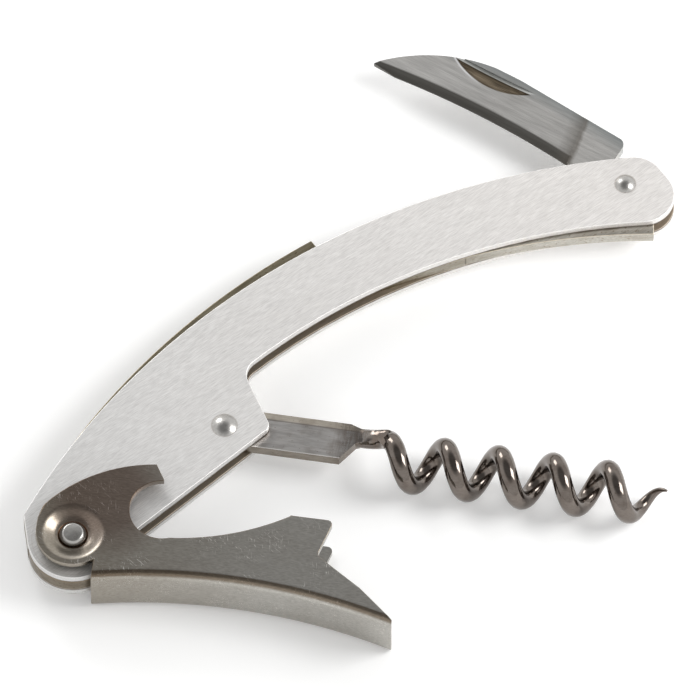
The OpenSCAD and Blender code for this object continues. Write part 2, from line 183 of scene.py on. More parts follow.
def turnedPiece(pieceName, place, rings, sides):
    # A round piece pulled up from one circle, ring by ring: (radius, height) in mm
    deselectAll()
    radius, height = rings[0]
    bpy.ops.mesh.primitive_circle_add(vertices=sides, radius=radius * mm, fill_type="TRIFAN",
                                      location=(place[0] * mm, place[1] * mm, height * mm))
    piece = bpy.context.object
    piece.name = pieceName
    makeActive(piece)
    bpy.ops.object.transform_apply(location=True, rotation=True, scale=True)
    bpy.ops.object.mode_set(mode="EDIT")
    bpy.ops.mesh.select_mode(type="EDGE")
    bpy.ops.mesh.select_all(action="SELECT")
    bpy.ops.mesh.region_to_loop()
    for nextRadius, nextHeight in rings[1:]:
        bpy.ops.mesh.extrude_edges_move(
            TRANSFORM_OT_translate={"value": (0, 0, (nextHeight - height) * mm)})
        size = nextRadius / radius
        bpy.ops.transform.resize(value=(size, size, 1), center_override=(
            place[0] * mm, place[1] * mm, nextHeight * mm))
        radius, height = nextRadius, nextHeight
    bpy.ops.mesh.edge_face_add()
    bpy.ops.mesh.poke()
    bpy.ops.mesh.select_all(action="SELECT")
    bpy.ops.mesh.normals_make_consistent(inside=False)
    backToObject()
    return piece


def addNode(tree, kind, settings=None, inputs=None):
    # An input may be a plain value or another node's output
    made = tree.nodes.new(kind)
    for key, value in (settings or {}).items():
        setattr(made, key, value)
    for key, value in (inputs or {}).items():
        socket = made.inputs[key]
        if isinstance(value, bpy.types.NodeSocket):
            tree.links.new(value, socket)
        else:
            socket.default_value = value
    return made


def maths(tree, operation, a, b=0):
    return addNode(tree, "ShaderNodeMath", {"operation": operation}, {0: a, 1: b}).outputs[0]


def times(tree, product, *others):
    for other in others:
        product = maths(tree, "MULTIPLY", product, other)
    return product


def restOf(tree, value):
    return maths(tree, "SUBTRACT", 1, value)


def spread(tree, value, low, high, toLow=0.0, toHigh=1.0):
    return addNode(tree, "ShaderNodeMapRange", None, {
        "Value": value, "From Min": low, "From Max": high,
        "To Min": toLow, "To Max": toHigh}).outputs["Result"]


def rise(tree, value, start, end, height=1.0):
    # From 0 at start to height at end, both in mm
    return spread(tree, value, start * mm, end * mm, 0, height)


def fall(tree, value, start, end):
    # From 1 at start to 0 at end, both in mm
    return spread(tree, value, start * mm, end * mm, 1, 0)


def band(tree, value, start, full, fade, end, height=1.0):
    return times(tree, rise(tree, value, start, full, height), fall(tree, value, fade, end))


def pieceCoords(tree, centre, turn):
    # Coordinates in metres from a piece's centre, with X along its length
    place = addNode(tree, "ShaderNodeTexCoord")
    return addNode(tree, "ShaderNodeMapping", {"vector_type": "TEXTURE"}, {
        "Vector": place.outputs["Object"], "Location": centre,
        "Rotation": (0, 0, math.radians(turn))}).outputs["Vector"]


def axesOf(tree, coords):
    return addNode(tree, "ShaderNodeSeparateXYZ", None, {0: coords}).outputs


def away(tree, coords, spot):
    # Distance in metres from a spot = (x, y) mm of the piece's own plane
    flat = addNode(tree, "ShaderNodeVectorMath", {"operation": "MULTIPLY_ADD"}, {
        0: coords, 1: (1, 1, 0), 2: (-spot[0] * mm, -spot[1] * mm, 0)})
    return addNode(tree, "ShaderNodeVectorMath", {"operation": "LENGTH"},
                   {0: flat.outputs[0]}).outputs["Value"]


# How every steel is drawn: where each kind of mark starts to show and shows in full, how soft
# the edge of a speck or scratch is, what hair lines and streaks add to the relief, and how flat
# a face lies on a wall and at the two ends of a rounded rim
steel = {
    "hair": (0.3, 0.7), "streak": (0.35, 0.7), "cloud": (0.45, 0.75), "rough": (0.3, 0.7),
    "speckEdge": 0.03, "scratchEdge": 0.04, "scratchPatch": (6.0, 4.0, 4.0),
    "scratchShows": (0.45, 0.62), "hairRelief": 0.6, "streakRelief": 0.4,
    "wall": (0.4, 0.7), "rimTop": (0.9, 0.98), "rimFoot": (0.1, 0.4),
}


def flatness(tree):
    # 1 on faces that lie flat, 0 on those that stand upright
    facing = addNode(tree, "ShaderNodeTexCoord").outputs["Normal"]
    return maths(tree, "ABSOLUTE", axesOf(tree, facing)[2])


def onWalls(tree):
    # 1 on upright faces and the steep part of a rim
    return spread(tree, flatness(tree), *steel["wall"], 1, 0)


def onRims(tree):
    # 1 on the slopes of a rounded rim, 0 on flat faces and upright walls
    flat = flatness(tree)
    return times(tree, spread(tree, flat, *steel["rimTop"], 1, 0),
                 spread(tree, flat, *steel["rimFoot"]))


def grain(tree, coords, size, detail):
    # Noise whose marks are about size = (x, y, z) mm
    scaled = addNode(tree, "ShaderNodeVectorMath", {"operation": "MULTIPLY"}, {
        0: coords, 1: tuple(1 / (s * mm) for s in size)})
    return addNode(tree, "ShaderNodeTexNoise", None, {
        "Vector": scaled.outputs[0], "Scale": 1.0, "Detail": detail}).outputs["Fac"]


def blendColours(tree, amount, first, second):
    mix = addNode(tree, "ShaderNodeMix", {"data_type": "RGBA"}, {"Factor": amount})
    for socket, value in ((mix.inputs[6], first), (mix.inputs[7], second)):  # the colour pair
        if isinstance(value, bpy.types.NodeSocket):
            tree.links.new(value, socket)
        else:
            socket.default_value = (*value, 1)
    return mix.outputs[2]


def tintedAll(tree, colour, tint):
    return addNode(tree, "ShaderNodeVectorMath", {"operation": "MULTIPLY"},
                   {0: colour, 1: tint}).outputs[0]


def tinted(tree, colour, amount, tint):
    return tintedAll(tree, colour, blendColours(tree, amount, (1, 1, 1), tint))


def scratches(tree, coords, scratch):
    # Short fine marks that run two ways, in patches
    found = 0.0
    for turn in scratch["turns"]:
        turned = addNode(tree, "ShaderNodeVectorRotate", {"rotation_type": "Z_AXIS"}, {
            "Vector": coords, "Angle": math.radians(turn)}).outputs[0]
        fine = grain(tree, turned, scratch["size"], detail=1.0)
        found = maths(tree, "MAXIMUM", found, spread(
            tree, fine, scratch["from"], scratch["from"] + steel["scratchEdge"]))
    patchy = grain(tree, coords, steel["scratchPatch"], detail=1.0)
    return times(tree, found, spread(tree, patchy, *steel["scratchShows"]), scratch["depth"])


def steelFinish(name, look, ownMarks=None):
    # Steel with hair lines, streaks, stains and specks, painted light along its length, scratches,
    # painted highlights on its rounded rims, and then with a piece's own marks
    material = bpy.data.materials.new(name)
    material.use_nodes = True
    tree = material.node_tree
    shader = tree.nodes["Principled BSDF"]
    shader.inputs["Metallic"].default_value = 1.0
    coords = pieceCoords(tree, look["centre"], look["turn"])
    hair = grain(tree, coords, look["hair"], detail=3.0)
    streak = grain(tree, coords, look["streak"], detail=2.0)
    cloud = grain(tree, coords, look["cloud"], detail=3.0)
    speck = grain(tree, coords, look["speck"], detail=1.0)
    colour = blendColours(tree, spread(tree, hair, *steel["hair"]), look["dark"], look["bright"])
    colour = blendColours(tree, spread(tree, streak, *steel["streak"], 0, look["streakDepth"]),
                          colour, look["dark"])
    colour = blendColours(tree, spread(tree, cloud, *steel["cloud"], 0, look["cloudDepth"]),
                          colour, look["stain"])
    specks = spread(tree, speck, look["speckFrom"], look["speckFrom"] + steel["speckEdge"], 0,
                    look["speckDepth"])
    colour = blendColours(tree, specks, colour, look["stain"])
    rough = spread(tree, streak, *steel["rough"], *look["rough"])
    # Painted light and shade: the colour is darkened or brightened from one end of the piece to
    # the other
    if "along" in look:
        start, end = (x * mm for x in look["along"])
        length = axesOf(tree, coords)[0]
        tint = blendColours(tree, spread(tree, length, start, end), *look["alongTints"])
        colour = tintedAll(tree, colour, tint)
        if "alongRough" in look:
            rough = times(tree, rough, spread(tree, length, start, end, *look["alongRough"]))
    if "scratch" in look:
        colour = blendColours(tree, scratches(tree, coords, look["scratch"]), colour,
                              look["bareAndHighlight"])
    # Painted highlight: the slopes of rounded rims are drawn brighter, towards the pale colour
    # that scratches also take
    if "rimPaintedHighlight" in look:
        shine = times(tree, onRims(tree), look["rimPaintedHighlight"])
        colour = blendColours(tree, shine, colour, look["bareAndHighlight"])
    if ownMarks:
        colour, rough = ownMarks(tree, coords, colour, rough)
    tree.links.new(colour, shader.inputs["Base Color"])
    tree.links.new(rough, shader.inputs["Roughness"])
    height = maths(tree, "ADD", times(tree, hair, steel["hairRelief"]),
                   times(tree, streak, steel["streakRelief"]))
    bump = addNode(tree, "ShaderNodeBump", None, {
        "Height": height, "Strength": look["bump"], "Distance": look["depth"] * mm})
    tree.links.new(bump.outputs["Normal"], shader.inputs["Normal"])
    return material


def dress(piece, material, body, nodeName):
    # The piece gets its finish, rides on its body and takes the place of its node
    piece.data.materials.clear()
    piece.data.materials.append(material)
    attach(piece, body)
    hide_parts(nodeName)


# In each piece's dictionary lengths are in mm, but for its centre, which is in metres, and a
# band is (start, full, fade, end)
plateLook = {
    "centre": (0, 0, 0), "turn": 0,
    "hair": (1.5, 0.13, 0.13), "streak": (6.0, 0.3, 0.3), "cloud": (16.0, 9.0, 9.0),
    "speck": (0.5, 0.25, 0.25), "speckFrom": 0.75, "speckDepth": 0.4,
    "dark": (0.69, 0.675, 0.66), "bright": (0.89, 0.875, 0.86), "stain": (0.60, 0.575, 0.55),
    "bareAndHighlight": (0.97, 0.96, 0.94), "rimPaintedHighlight": 0.6,
    "streakDepth": 0.08, "cloudDepth": 0.08, "rough": (0.52, 0.60), "bump": 0.25, "depth": 0.01,
    # Painted light: the plates drawn darker towards -X and brighter towards +X
    "along": (-50.0, 50.0), "alongTints": ((0.91, 0.92, 0.925), (1.11, 1.10, 1.09)),
    "scratch": {"size": (1.6, 0.07, 0.07), "turns": (8, 62), "from": 0.7, "depth": 0.5},
    "rim": 0.14, "seam": (0, 0.1, 1.3, 1.5), "seamPaintedShade": (0.10, 0.075, 0.05),
    "seamPatch": (3.0, 3.0, 3.0), "seamShows": (0.3, 0.6, 0.6, 1.0),
    "inside": (1.14, 1.2), "insidePaintedShade": (0.50, 0.43, 0.35),
    "wormHead": 1.9, "knifeHead": 1.55, "headShadeBand": (-0.1, 0, 0.06, 0.22),
    "headDepth": 0.45, "rivetRingPaintedShade": (0.30, 0.26, 0.21),
    "rubbed": (5.6, 6.0, 8.4, 9.2), "rubbedDepth": 0.5, "arc": (0.28, 1.0, 1.0),
    "arcShows": (0.55, 0.68),
}


def plateMarks(tree, coords, colour, rough):
    # Painted shade as a dark line on the cut edges where a plate lies on the spring, painted
    # shade on the inner faces and in a ring round the rivet heads, and arcs that the lever has
    # rubbed
    look = plateLook
    fromMiddle = maths(tree, "ABSOLUTE", maths(
        tree, "SUBTRACT", axesOf(tree, coords)[2], middleZ))
    uneven = spread(tree, grain(tree, coords, look["seamPatch"], detail=2.0), *look["seamShows"])
    # Painted shade: a patchy dark line on the walls where the plates meet the spring
    seam = times(tree, band(tree, fromMiddle, *look["seam"]), uneven, onWalls(tree))
    colour = blendColours(tree, seam, colour, look["seamPaintedShade"])
    # Painted shade: inner faces near the middle drawn darker and browner
    inside = times(tree, fall(tree, fromMiddle, *look["inside"]), restOf(tree, onWalls(tree)))
    colour = tinted(tree, colour, inside, look["insidePaintedShade"])
    # Painted shade: a dark ring on the plate round each rivet head
    for pivot, head in ((wormPivot, look["wormHead"]), (knifePivot, look["knifeHead"])):
        grimeAndShade = band(tree, away(tree, coords, pivot),
                     *(head + step for step in look["headShadeBand"]), look["headDepth"])
        colour = blendColours(tree, grimeAndShade, colour, look["rivetRingPaintedShade"])
    reach = away(tree, coords, leverPivot)
    arcs = addNode(tree, "ShaderNodeCombineXYZ", None, {0: reach}).outputs[0]
    arcs = spread(tree, grain(tree, arcs, look["arc"], detail=1.0), *look["arcShows"])
    rubbed = times(tree, arcs, band(tree, reach, *look["rubbed"], look["rubbedDepth"]))
    return blendColours(tree, rubbed, colour, look["stain"]), rough


plateSteel = steelFinish("brushed plate steel", plateLook, plateMarks)
for nodeName in ("front_plate", "back_plate"):
    plate = pieceFromNode(nodeName, nodeName + "_sheet")
    softenRims(plate, plateLook["rim"], heightsOf(nodeName), rivetHoles)
    dress(plate, plateSteel, "handle", nodeName)
print("side plates made")


springLook = {
    "centre": (0, 0, 0), "turn": 0,
    "hair": (3.0, 0.2, 0.2), "streak": (8.0, 0.8, 0.3), "cloud": (6.0, 3.0, 1.0),
    "speck": (0.6, 0.4, 0.4), "speckFrom": 0.66, "speckDepth": 0.6,
    "dark": (0.46, 0.44, 0.39), "bright": (0.66, 0.635, 0.58), "stain": (0.26, 0.20, 0.13),
    "bareAndHighlight": (0.85, 0.76, 0.60), "rimPaintedHighlight": 0.7,
    "streakDepth": 0.3, "cloudDepth": 0.4, "rough": (0.3, 0.45), "bump": 0.4, "depth": 0.03,
    "rim": 0.12, "back": (6.0, 12.0), "backPaintedShade": (0.5, 0.46, 0.36),
    "leaf": (12.0, 34.0), "leafRootPaintedShade": (0.40, 0.355, 0.30),
    "bellyCentre": (-3.22, -89.255), "bellyRadius": 101.0,
    "easeFrom": 12.64, "easeTo": 27.0, "easeDepth": 0.98, "easeSlack": 0.02,
}


def springPaintedShade(tree, coords, colour, rough):
    # Painted shade: darker olive on the arm along the back, and darker brown on the root of the
    # belly's leaf between the plates
    length, across = axesOf(tree, coords)[:2]
    # Painted shade on the arm along the back
    back = rise(tree, across, *springLook["back"])
    colour = tinted(tree, colour, back, springLook["backPaintedShade"])
    # Painted shade on the leaf's root, where it lies between the plates
    root = times(tree, fall(tree, length, *springLook["leaf"]), restOf(tree, back))
    return tinted(tree, colour, root, springLook["leafRootPaintedShade"]), rough


def easeLeaf(piece):
    # The belly's leaf comes out from between the plates little by little
    look = springLook
    centreX, centreY = look["bellyCentre"]
    for vertex in piece.data.vertices:
        x, y = vertex.co.x / mm - centreX, vertex.co.y / mm - centreY
        part = (vertex.co.x / mm - look["easeFrom"]) / (look["easeTo"] - look["easeFrom"])
        reach = math.hypot(x, y)
        least = look["bellyRadius"] + look["easeDepth"] * (1 - part) ** 2
        if -look["easeSlack"] < part < 1 and reach < least:
            vertex.co.x = (centreX + x * least / reach) * mm
            vertex.co.y = (centreY + y * least / reach) * mm


springSteel = steelFinish("spring steel", springLook, springPaintedShade)
spring = pieceFromNode("centre_spring", "spring_strip")
easeLeaf(spring)
softenRims(spring, springLook["rim"], heightsOf("centre_spring"), rivetHoles)
dress(spring, springSteel, "handle", "centre_spring")
print("spring made")


leverLook = {
    "centre": (leverPivot[0] * mm, leverPivot[1] * mm, middleZ), "turn": -45,
    "hair": (0.7, 0.15, 0.15), "streak": (3.0, 0.4, 0.4), "cloud": (9.0, 5.0, 5.0),
    "speck": (0.4, 0.25, 0.25), "speckFrom": 0.72, "speckDepth": 0.4,
    "dark": (0.37, 0.355, 0.325), "bright": (0.52, 0.505, 0.47), "stain": (0.27, 0.22, 0.18),
    "bareAndHighlight": (0.95, 0.93, 0.88),
    "streakDepth": 0.03, "cloudDepth": 0.15, "rough": (0.28, 0.30), "bump": 0.15, "depth": 0.01,
    # Painted shade: the lever drawn darker and browner towards its head end
    "along": (-3.0, 30.0), "alongTints": ((0.70, 0.65, 0.585), (1.0, 1.0, 1.0)),
    "scratch": {"size": (1.2, 0.1, 0.1), "turns": (35, 80), "from": 0.685, "depth": 1.0},
    "head": (4.0, 7.0), "headFade": (5.5, 11.5), "headPaintedShade": (0.64, 0.56, 0.54),
    "foldShows": (0.45, 0.7), "foldFades": (0.97, 1), "foldFrom": (5.8, 6.1),
    "foldPaintedShade": (0.50, 0.43, 0.36),
    "grimeRing": (1.98, 2.16, 2.26, 2.42), "grimeTone": (0.20, 0.105, 0.05),
    "grimePatch": (0.5, 0.5, 0.5), "grimeShows": (0.25, 0.5, 0.5, 1.0),
    "rim": 0.12, "seatReach": 5.4, "straightened": (-5.09, 4.04), "rounded": (-5.7, 3.18),
    "radius": 1.7, "segments": 10, "spotReach": 0.03, "uprightOver": 0.9,
    "dish": {
        "rim": 4.97, "floor": 2.35, "depth": 1.17, "hole": 1.65, "steps": 12, "within": 0.02,
        "groove": ((2.28, 0.04), (2.18, 0.12), (2.0, 0.14)), "backRim": (4.93, 1.6),
        "back": ((4.6, 1.63), (4.0, 1.8), (3.4, 2.0), (2.8, 2.14), (2.35, 2.17), (1.65, 2.17)),
    },
}
dish = leverLook["dish"]


def leverMarks(tree, coords, colour, rough):
    # Brown grime in the groove round the rivet, and painted shade that darkens and browns the head
    # and the fold
    look = leverLook
    fromPivot = away(tree, coords, (0, 0))
    uneven = spread(tree, grain(tree, coords, look["grimePatch"], detail=2.0), *look["grimeShows"])
    grimeAndShade = times(tree, band(tree, fromPivot, *look["grimeRing"]), uneven)
    colour = blendColours(tree, grimeAndShade, colour, look["grimeTone"])
    # Painted shade: the head end drawn darker and browner
    head = fall(tree, away(tree, coords, look["head"]), *look["headFade"])
    colour = tinted(tree, colour, head, look["headPaintedShade"])
    # Painted shade on the fold, by how far its faces lean
    flat = flatness(tree)
    fold = times(tree, spread(tree, flat, *look["foldShows"]),
                 spread(tree, flat, *look["foldFades"], 1, 0),
                 rise(tree, fromPivot, *look["foldFrom"]))
    return tinted(tree, colour, fold, look["foldPaintedShade"]), rough


def dishRings():
    # The seat's profile from its rim inward, eased at both ends: (radius, how far below the
    # cheek's face)
    rings = []
    for i in range(1, dish["steps"] + 1):
        part = i / dish["steps"]
        rings.append((dish["rim"] + (dish["floor"] - dish["rim"]) * part,
                      dish["depth"] * part * part * (3 - 2 * part)))
    return rings


def pullRings(centre, radius, depth, rings, inward):
    # Pulls the picked loop on from ring to ring; inward is the way from face to middle layer
    for nextRadius, nextDepth in rings:
        bpy.ops.mesh.extrude_edges_move(
            TRANSFORM_OT_translate={"value": (0, 0, (nextDepth - depth) * inward * mm)})
        size = nextRadius / radius
        bpy.ops.transform.resize(value=(size, size, 1), center_override=centre)
        radius, depth = nextRadius, nextDepth


def pressDish(piece, face, inward):
    # A smooth bowl round the rivet, in place of the cheek's plain cone
    x, y = leverPivot
    centre = (x * mm, y * mm, face * mm)

    def ringAt(radius, height):
        return lambda ends: all(abs(math.hypot(p[0] - x, p[1] - y) - radius) < dish["within"]
                                and abs(p[2] - height) < dish["within"] for p in ends)

    selectMesh(piece, "EDGE", ringAt(dish["rim"], face))
    outer = dishRings() + [(r, dish["depth"] + d) for r, d in dish["groove"]]
    outer += [(dish["hole"], outer[-1][1])]
    pullRings(centre, dish["rim"], 0, outer, inward)
    backToObject()
    rimRadius, rimHeight = dish["backRim"]
    selectMesh(piece, "EDGE", ringAt(rimRadius, face + inward * rimHeight))
    pullRings(centre, rimRadius, rimHeight, dish["back"], inward)
    backToObject()
    ends = (face + inward * dish["back"][-1][1], face + inward * outer[-1][1])
    selectMesh(piece, "EDGE", lambda pair: any(ringAt(dish["hole"], end)(pair) for end in ends))
    bpy.ops.mesh.bridge_edge_loops()
    backToObject()


def onLever(x, y):
    # A small circle round a place of the lever's own plane, in mm
    turn = math.radians(leverLook["turn"])
    return [(leverPivot[0] + x * math.cos(turn) - y * math.sin(turn),
             leverPivot[1] + x * math.sin(turn) + y * math.cos(turn), leverLook["spotReach"])]


def uprightAt(spot):
    return lambda ends: (all(isNear(p, spot) for p in ends)
                         and abs(ends[0][2] - ends[1][2]) > leverLook["uprightOver"])


def takeOutUpright(piece, spot):
    # One upright edge goes, with its two corners, so that the wall beside it runs straight on
    selectMesh(piece, "EDGE", uprightAt(spot))
    bpy.ops.mesh.dissolve_edges(use_verts=False)
    backToObject()
    selectMesh(piece, "VERT", lambda corners: isNear(corners[0], spot))
    bpy.ops.mesh.dissolve_verts()
    backToObject()


leverSteel = steelFinish("satin lever steel", leverLook, leverMarks)
lever = pieceFromNode("lever", "folded_lever")
leverFaces = heightsOf("lever")
seat = [(*leverPivot, dish["rim"] + dish["within"])]
selectMesh(lever, "FACE", lambda corners: all(isNear(p, seat) for p in corners))
bpy.ops.mesh.delete(type="FACE")
backToObject()
pressDish(lever, leverFaces[1], -1)
pressDish(lever, leverFaces[0], 1)
editAll(lever)
bpy.ops.mesh.normals_make_consistent(inside=False)
backToObject()
joinFlatFaces(lever)
takeOutUpright(lever, onLever(*leverLook["straightened"]))
selectMesh(lever, "EDGE", uprightAt(onLever(*leverLook["rounded"])))
bpy.ops.mesh.bevel(offset=leverLook["radius"] * mm, segments=leverLook["segments"],
                   affect="EDGES", clamp_overlap=False)
backToObject()
softenRims(lever, leverLook["rim"], leverFaces, [(*leverPivot, leverLook["seatReach"])])
dress(lever, leverSteel, "lever", "lever")
print("lever made")


knifeLook = {
    "centre": (knifePivot[0] * mm, knifePivot[1] * mm, middleZ), "turn": 113.4,
    "hair": (3.0, 0.14, 0.14), "streak": (8.0, 0.5, 0.5), "cloud": (9.0, 4.0, 4.0),
    "speck": (0.4, 0.3, 0.3), "speckFrom": 0.72, "speckDepth": 0.4,
    "dark": (0.57, 0.56, 0.54), "bright": (0.74, 0.725, 0.70), "stain": (0.46, 0.44, 0.415),
    "streakDepth": 0.12, "cloudDepth": 0.25, "rough": (0.34, 0.42), "bump": 0.2, "depth": 0.012,
    "smooth": 4, "edgeCentre": (27.0, 149.5), "edgeRadius": 150.0,
    "spine": (155.8, 158.6), "spinePaintedShade": (0.55, 0.60, 0.62),
    "bevel": 1.35, "bevelSoft": 0.1, "bevelDepth": 0.85, "bevelPaintedShade": (0.085, 0.08, 0.068),
    "bevelFade": (-0.75, -0.35), "bevelEdgePaintedShade": (0.05, 0.045, 0.035),
    "plunge": 10.2, "plungeSoft": 0.5, "plungeLean": 0.18, "wobble": 0.8,
    "wobbleSize": (2.0, 1.5, 1.5), "plungeShade": (9.6, 10.2, 10.3, 13.0),
    "plungeDepth": 0.7, "plungePaintedShade": (0.20, 0.18, 0.155),
    "nick": (27.72, -17.3), "nickRadius": (12.08, 12.22), "nickTop": -7.15, "nickSoft": 0.1,
    "nickTone": (0.23, 0.185, 0.13), "nickMark": (4.0, 0.12, 0.12), "nickShows": (0.4, 0.6),
    "nickMarkTone": (0.092, 0.074, 0.052), "nickShade": 1.0, "nickWallPaintedShade": (0.05, 0.038, 0.025),
    "nickRim": (12.02, 12.16, 12.3, 12.46), "nickRimFrom": (28.5, 31.0),
    "nickRimPaintedHighlight": (1.0, 1.0, 1.0),
}


def knifeMarks(tree, coords, colour, rough):
    # Painted shade on the spine's slope, the edge bevel and a soft line where the grind starts;
    # brown tool marks in the nail nick, with painted shade by its wall and a painted rim highlight
    look = knifeLook
    length, across = axesOf(tree, coords)[:2]
    fromCentre = away(tree, coords, look["edgeCentre"])
    # Painted shade: the spine's slope drawn darker and bluer
    spine = rise(tree, fromCentre, *look["spine"])
    colour = tinted(tree, colour, spine, look["spinePaintedShade"])
    # Painted shade: the edge bevel drawn dark, darkest along the edge
    inner = look["edgeRadius"] + look["bevel"]
    bevel = times(tree,
                  fall(tree, fromCentre, inner - look["bevelSoft"], inner + look["bevelSoft"]),
                  rise(tree, length, look["plunge"] - look["plungeSoft"], look["plunge"]),
                  look["bevelDepth"])
    fade = rise(tree, fromCentre, *(inner + step for step in look["bevelFade"]))
    tone = blendColours(tree, fade, look["bevelEdgePaintedShade"], look["bevelPaintedShade"])
    colour = blendColours(tree, bevel, colour, tone)
    # Painted shade: a soft dark line where the grind starts
    lean = times(tree, across, look["plungeLean"])
    wobble = times(tree, grain(tree, coords, look["wobbleSize"], detail=1.0), look["wobble"] * mm)
    place = maths(tree, "ADD", maths(tree, "ADD", length, lean), wobble)
    plunge = band(tree, place, *look["plungeShade"], look["plungeDepth"])
    colour = blendColours(tree, plunge, colour, look["plungePaintedShade"])
    fromNick = away(tree, coords, look["nick"])
    top = look["nickTop"]
    nick = times(tree, fall(tree, fromNick, *look["nickRadius"]),
                 rise(tree, across, top - look["nickSoft"], top))
    marks = spread(tree, grain(tree, coords, look["nickMark"], detail=1.0), *look["nickShows"])
    tone = blendColours(tree, marks, look["nickTone"], look["nickMarkTone"])
    # Painted shade by the nick's upper wall
    shade = fall(tree, across, top, top + look["nickShade"])
    tone = blendColours(tree, shade, tone, look["nickWallPaintedShade"])
    colour = blendColours(tree, nick, colour, tone)
    # Painted highlight on the nick's far rim
    rim = times(tree, band(tree, fromNick, *look["nickRim"]),
                rise(tree, length, *look["nickRimFrom"]))
    return blendColours(tree, rim, colour, look["nickRimPaintedHighlight"]), rough


knifeSteel = steelFinish("ground knife steel", knifeLook, knifeMarks)
knife = pieceFromNode("knife_blade", "foil_knife")
joinFlatFaces(knife)
smoothPiece(knife, knifeLook["smooth"])
dress(knife, knifeSteel, "knife", "knife_blade")
print("knife made")


wormLook = {
    "centre": (wormPivot[0] * mm, wormPivot[1] * mm, middleZ), "turn": -45.2,
    "hair": (1.8, 0.16, 0.16), "streak": (5.0, 0.5, 0.5), "cloud": (2.0, 1.6, 1.6),
    "speck": (0.4, 0.3, 0.3), "speckFrom": 0.7, "speckDepth": 0.5,
    "dark": (0.48, 0.46, 0.44), "bright": (0.60, 0.585, 0.57), "stain": (0.21, 0.165, 0.135),
    "bareAndHighlight": (0.95, 0.93, 0.9),
    "streakDepth": 0.15, "cloudDepth": 0.45, "rough": (0.16, 0.22), "bump": 0.15, "depth": 0.01,
    # Painted shade: the coil drawn darker than the shank, standing in for its dark reflections
    "along": (17.0, 23.0), "alongTints": ((1.0, 1.0, 1.0), (0.34, 0.305, 0.28)),
    "alongRough": (1.75, 0.65), "smooth": 40, "shankEnd": (19.5, 22.5),
    "strip": (2.85, 3.05), "stripTint": (1.25, 1.18, 1.05),
    "stripLine": (2.7, 2.8, 2.85, 3.0), "stripLineDepth": 0.6,
    "wallPaintedShade": (0.5, 0.46, 0.40), "lowerRim": (-2.12, -2.0),
    "press": (0.22, 1.8, 1.8), "pressShows": (0.42, 0.62), "pressed": (16.0, 19.0, 24.0, 26.0),
    "pressDepth": 0.55, "neck": (20.5, 25.0), "neckHalf": 1.0, "neckOpens": 1.6,
    "neckCurve": 1.5,
}


def wormMarks(tree, coords, colour, rough):
    # A warm strip along the shank's back, painted shade on its walls, a painted highlight on its
    # lower rim, and press marks at its end
    look = wormLook
    length, across = axesOf(tree, coords)[:2]
    onShank = fall(tree, length, *look["shankEnd"])
    strip = times(tree, onShank, rise(tree, across, *look["strip"]))
    colour = tinted(tree, colour, strip, look["stripTint"])
    line = times(tree, onShank, band(tree, across, *look["stripLine"], look["stripLineDepth"]))
    colour = blendColours(tree, line, colour, look["stain"])
    # Painted shade on the shank's upright walls
    walls = onWalls(tree)
    colour = tinted(tree, colour, times(tree, onShank, walls), look["wallPaintedShade"])
    # Painted highlight on the shank's lower rim
    rim = times(tree, onShank, fall(tree, across, *look["lowerRim"]), restOf(tree, walls))
    colour = blendColours(tree, rim, colour, look["bareAndHighlight"])
    marks = spread(tree, grain(tree, coords, look["press"], detail=2.0), *look["pressShows"])
    pressed = times(tree, marks, band(tree, length, *look["pressed"], look["pressDepth"]))
    return blendColours(tree, pressed, colour, look["stain"]), rough


def flattenNeck(piece):
    # The wire's start is pressed flat with the shank, and rounds out towards the coil
    look = wormLook
    turn = math.radians(look["turn"])
    start, end = look["neck"]
    for vertex in piece.data.vertices:
        x, y = vertex.co.x - wormPivot[0] * mm, vertex.co.y - wormPivot[1] * mm
        length = (x * math.cos(turn) + y * math.sin(turn)) / mm
        if length < end:
            part = max(length - start, 0) / (end - start)
            most = (look["neckHalf"] + look["neckOpens"] * part ** look["neckCurve"]) * mm
            vertex.co.z = middleZ + max(-most, min(most, vertex.co.z - middleZ))


wormSteel = steelFinish("polished worm steel", wormLook, wormMarks)
worm = pieceFromNode("worm", "worm_forging")
flattenNeck(worm)
joinFlatFaces(worm)
smoothPiece(worm, wormLook["smooth"])
dress(worm, wormSteel, "worm", "worm")
print("worm made")


# leverHead is half of the lever rivet's outline: (radius, how far in from the head's face)
rivetLook = {
    "centre": (0, 0, 0), "turn": 0,
    "hair": (0.5, 0.4, 0.4), "streak": (1.5, 1.2, 1.2), "cloud": (2.0, 2.0, 2.0),
    "speck": (0.4, 0.3, 0.3), "speckFrom": 0.72, "speckDepth": 0.4,
    "dark": (0.40, 0.39, 0.375), "bright": (0.52, 0.51, 0.49), "stain": (0.24, 0.21, 0.17),
    "streakDepth": 0.2, "cloudDepth": 0.2, "rough": (0.26, 0.34), "bump": 0.12, "depth": 0.02,
    "leverHead": ((1.36, 0), (1.5, 0.03), (1.62, 0.12), (1.8, 0.36), (2.0, 0.62), (2.04, 0.76),
                  (2.0, 0.84), (1.6, 0.84)),
    "leverSides": 72, "leverSmooth": 50, "domeSmooth": 40,
}


def leverRivet():
    # Both heads are turned over in the lever's dishes: flat tops with a rounded shoulder
    low, high = heightsOf("lever_rivet")
    head = rivetLook["leverHead"]
    rings = [(r, low + d) for r, d in head] + [(r, high - d) for r, d in head[::-1]]
    return turnedPiece("lever_rivet_pin", leverPivot, rings, rivetLook["leverSides"])


rivetSteel = steelFinish("rivet steel", rivetLook)
rivet = leverRivet()
smoothPiece(rivet, rivetLook["leverSmooth"])
dress(rivet, rivetSteel, "handle", "lever_rivet")
for nodeName in ("worm_rivet", "knife_rivet"):
    rivet = pieceFromNode(nodeName, nodeName + "_pin")
    smoothPiece(rivet, rivetLook["domeSmooth"])
    dress(rivet, rivetSteel, "handle", nodeName)
print("rivets made")


